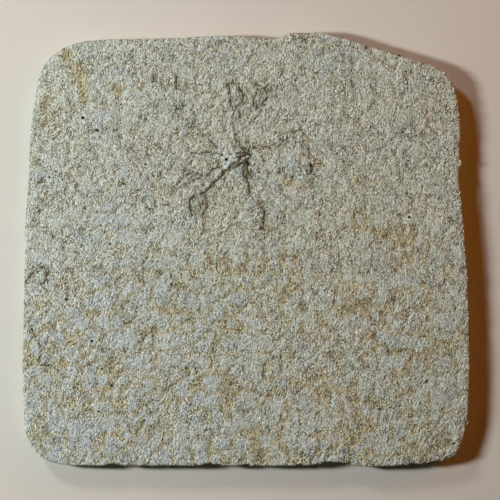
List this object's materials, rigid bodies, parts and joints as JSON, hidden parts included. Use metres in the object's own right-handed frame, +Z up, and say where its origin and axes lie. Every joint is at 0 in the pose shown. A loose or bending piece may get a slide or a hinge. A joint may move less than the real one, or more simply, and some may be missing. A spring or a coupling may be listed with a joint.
{
  "type": "crinoid fossil slab",
  "caption": "Thin rounded-square slab of plate limestone with a small stemless sea lily fossil in low relief, its coiled arms spread on the upper face.",
  "frame": {"origin": "middle of the underside's bounding box, on the surface that the slab lies on", "axes": "+Z up out of the fossil's face, +X along the slab's longer side to the right and +Y away, as seen when one looks down on the fossil the right way round"},
  "size_m": [0.123, 0.1192, 0.0078],
  "materials": {
    "plate_limestone": "matt, split and finely granular",
    "fossil_calcite": "iron-stained calcite, matt"
  },
  "bodies": {
    "root": {"fossil_slab": "plate_limestone"}
  },
  "joints": []
}
